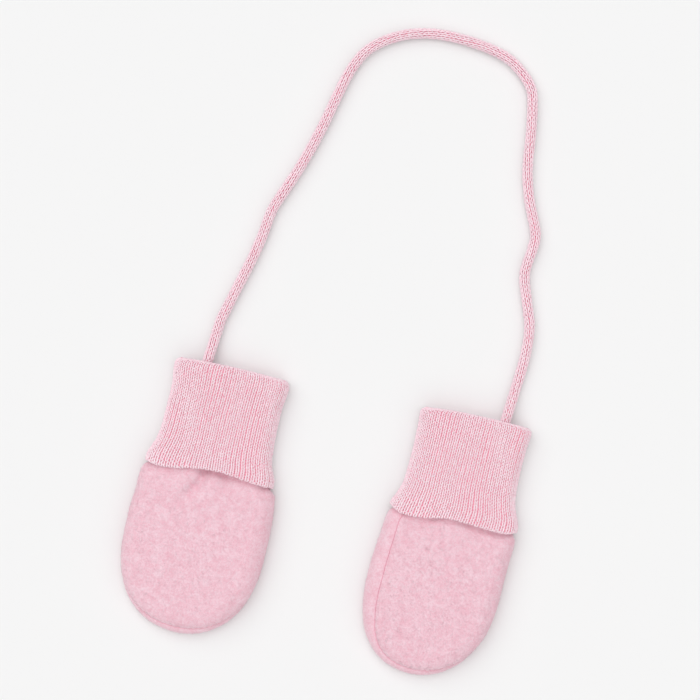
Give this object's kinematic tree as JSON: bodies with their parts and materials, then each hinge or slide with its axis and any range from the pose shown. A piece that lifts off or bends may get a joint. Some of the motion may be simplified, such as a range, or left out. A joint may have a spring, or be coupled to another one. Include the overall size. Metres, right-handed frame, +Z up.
{
  "type": "pair of baby mittens joined by a cord",
  "caption": "Thumbless fleece baby mittens with doubled rib cuffs, lying flat, joined by a round knitted cord from cuff to cuff.",
  "frame": {"origin": "on the surface the mittens lie on, under the middle of the box round the two mittens", "axes": "+Z up off the surface, +Y towards the mouths and the cord, +X from the left mitten to the right one"},
  "size_m": [0.2189, 0.3369, 0.0131],
  "materials": {
    "fleece": "brushed wool fleece, soft matt nap",
    "rib_knit": "fine rib knit, doubled",
    "cord_knit": "round tubular knit"
  },
  "bodies": {
    "root": {"left_front_panel": "fleece", "left_back_panel": "fleece", "left_cuff": "rib_knit", "right_front_panel": "fleece", "right_back_panel": "fleece", "right_cuff": "rib_knit", "cord": "cord_knit"}
  },
  "joints": []
}
